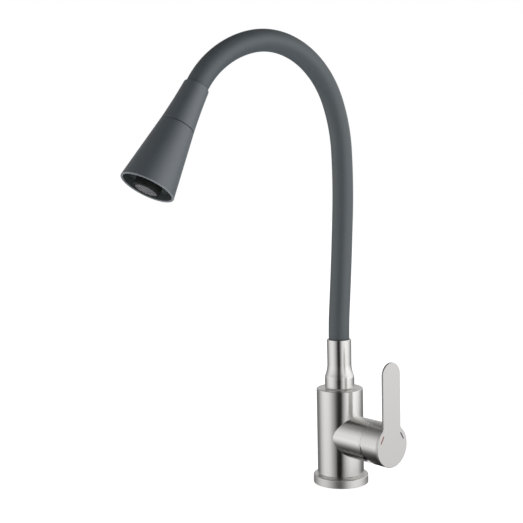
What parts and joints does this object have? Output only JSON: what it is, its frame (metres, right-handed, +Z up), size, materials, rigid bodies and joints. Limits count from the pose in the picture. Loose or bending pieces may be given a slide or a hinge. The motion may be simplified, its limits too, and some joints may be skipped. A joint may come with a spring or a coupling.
{
  "type": "kitchen mixer tap",
  "caption": "Single-lever kitchen mixer tap with a bendable silicone-covered gooseneck spout, a conical two-mode spray head and a brushed steel body.",
  "frame": {"origin": "centre of the face that stands on the deck", "axes": "+Z up along the body, the spout reaches along -Y, the lever stands on the +X side"},
  "size_m": [0.0951, 0.2617, 0.429],
  "materials": {
    "brushed_steel_shell": "fine circular and lengthwise brushing",
    "polished_ring": "polished",
    "brass": "turned",
    "seal_rubber": "moulded",
    "cartridge_plastic": "moulded",
    "valve_ceramic": "lapped",
    "spring_steel": "plain",
    "grey_silicone": "smooth satin silicone",
    "inner_hose": "smooth",
    "link_plastic": "moulded",
    "grey_head": "satin coating",
    "white_plastic": "moulded",
    "recess_grey": "fine moulded",
    "aerator_black": "moulded",
    "aerator_grey": "moulded",
    "hot_red": "enamel fill",
    "cold_blue": "enamel fill"
  },
  "bodies": {
    "tap_body": {"deck_flange": "brushed_steel_shell", "deck_seal": "seal_rubber", "body_shell": "brushed_steel_shell", "side_housing": "brushed_steel_shell", "valve_block": "brass", "cartridge_base": "cartridge_plastic", "port_seals": "seal_rubber", "fixed_ceramic_disc": "valve_ceramic", "cartridge_shell": "cartridge_plastic", "cartridge_nut": "brass", "cover_ring": "polished_ring", "swivel_bush": "cartridge_plastic"},
    "mixer_rotor": {"cartridge_rotor": "cartridge_plastic", "pivot_pin": "spring_steel"},
    "lever": {"spindle": "spring_steel", "lever_hub": "brushed_steel_shell", "lever_blade": "brushed_steel_shell", "lever_grub_screw": "spring_steel", "hot_mark": "hot_red", "cold_mark": "cold_blue"},
    "disc_slider": {"moving_ceramic_disc": "valve_ceramic", "disc_carrier": "cartridge_plastic"},
    "spout_base": {"swivel_spigot": "brass", "swivel_o_rings": "seal_rubber", "swivel_clip": "spring_steel", "spout_sleeve": "brushed_steel_shell", "neck_base_fitting": "brass", "base_hose_ferrule": "spring_steel", "water_hose": "inner_hose", "silicone_sleeve": "grey_silicone", "neck_links_base": "link_plastic"},
    "neck_1": {"neck_links_1": "link_plastic"},
    "neck_2": {"neck_links_2": "link_plastic"},
    "neck_3": {"neck_links_3": "link_plastic"},
    "neck_4": {"neck_links_4": "link_plastic"},
    "neck_5": {"neck_links_5": "link_plastic"},
    "neck_6": {"neck_links_6": "link_plastic"},
    "neck_7": {"neck_links_7": "link_plastic"},
    "neck_8": {"neck_links_8": "link_plastic"},
    "spray_head": {"neck_links_head": "link_plastic", "neck_head_fitting": "brass", "hose_tail": "spring_steel", "head_hose_ferrule": "spring_steel", "head_washer": "seal_rubber", "head_collar": "grey_head", "head_core": "white_plastic", "core_o_rings": "seal_rubber", "head_clip": "spring_steel"},
    "spray_cone": {"head_cone": "grey_head", "mode_rotor": "white_plastic", "spray_plate": "recess_grey", "aerator_housing": "aerator_black", "aerator_insert": "aerator_grey", "aerator_screens": "spring_steel", "aerator_seal": "seal_rubber"}
  },
  "joints": [
    {"name": "spout_swivel", "type": "hinge", "parent": "tap_body", "child": "spout_base", "pos_m": [0, 0, 0.0925], "axis": [0, 0, 1], "continuous": true},
    {"name": "lever_turn", "type": "hinge", "parent": "tap_body", "child": "mixer_rotor", "pos_m": [0.0408, 0, 0.0475], "axis": [1, 0, 0], "range_deg": [-45, 45]},
    {"name": "lever_lift", "type": "hinge", "parent": "mixer_rotor", "child": "lever", "pos_m": [0.0408, 0, 0.0475], "axis": [0, 1, 0], "range_deg": [0, 22]},
    {"name": "disc_slide", "type": "slide", "parent": "mixer_rotor", "child": "disc_slider", "axis": [0, 0, 1], "range_m": [0, 0.00496]},
    {"name": "neck_bend_1", "type": "hinge", "parent": "spout_base", "child": "neck_1", "pos_m": [0, 0.00076, 0.16388], "axis": [1, 0, 0], "range_deg": [-8, 8], "deforming": ["silicone_sleeve", "water_hose"]},
    {"name": "neck_bend_2", "type": "hinge", "parent": "neck_1", "child": "neck_2", "pos_m": [0, 0.00429, 0.21095], "axis": [1, 0, 0], "range_deg": [-8, 8], "deforming": ["silicone_sleeve", "water_hose"]},
    {"name": "neck_bend_3", "type": "hinge", "parent": "neck_2", "child": "neck_3", "pos_m": [0, 0.00712, 0.25807], "axis": [1, 0, 0], "range_deg": [-8, 8], "deforming": ["silicone_sleeve", "water_hose"]},
    {"name": "neck_bend_4", "type": "hinge", "parent": "neck_3", "child": "neck_4", "pos_m": [0, 0.00778, 0.30525], "axis": [1, 0, 0], "range_deg": [-8, 8], "deforming": ["silicone_sleeve", "water_hose"]},
    {"name": "neck_bend_5", "type": "hinge", "parent": "neck_4", "child": "neck_5", "pos_m": [0, 0.00185, 0.35192], "axis": [1, 0, 0], "range_deg": [-12, 6], "deforming": ["silicone_sleeve", "water_hose"]},
    {"name": "neck_bend_6", "type": "hinge", "parent": "neck_5", "child": "neck_6", "pos_m": [0, -0.02036, 0.39303], "axis": [1, 0, 0], "range_deg": [-12, 6], "deforming": ["silicone_sleeve", "water_hose"]},
    {"name": "neck_bend_7", "type": "hinge", "parent": "neck_6", "child": "neck_7", "pos_m": [0, -0.0606, 0.41648], "axis": [1, 0, 0], "range_deg": [-12, 6], "deforming": ["silicone_sleeve", "water_hose"]},
    {"name": "neck_bend_8", "type": "hinge", "parent": "neck_7", "child": "neck_8", "pos_m": [0, -0.10717, 0.4149], "axis": [1, 0, 0], "range_deg": [-12, 6], "deforming": ["silicone_sleeve", "water_hose"]},
    {"name": "neck_bend_9", "type": "hinge", "parent": "neck_8", "child": "spray_head", "pos_m": [0, -0.14784, 0.39173], "axis": [1, 0, 0], "range_deg": [-12, 6], "deforming": ["silicone_sleeve", "water_hose"]},
    {"name": "spray_mode", "type": "hinge", "parent": "spray_head", "child": "spray_cone", "pos_m": [0, -0.16275, 0.37353], "axis": [0, -0.5255, -0.8508], "range_deg": [0, 90]}
  ],
  "couplings": [
    {"joint": "disc_slide", "follows": "lever_lift", "m_per_rad": 0.01292},
    {"joint": "neck_bend_2", "follows": "neck_bend_1", "ratio": 1},
    {"joint": "neck_bend_3", "follows": "neck_bend_1", "ratio": 1},
    {"joint": "neck_bend_4", "follows": "neck_bend_1", "ratio": 1},
    {"joint": "neck_bend_6", "follows": "neck_bend_5", "ratio": 1},
    {"joint": "neck_bend_7", "follows": "neck_bend_5", "ratio": 1},
    {"joint": "neck_bend_8", "follows": "neck_bend_5", "ratio": 1},
    {"joint": "neck_bend_9", "follows": "neck_bend_5", "ratio": 1}
  ]
}
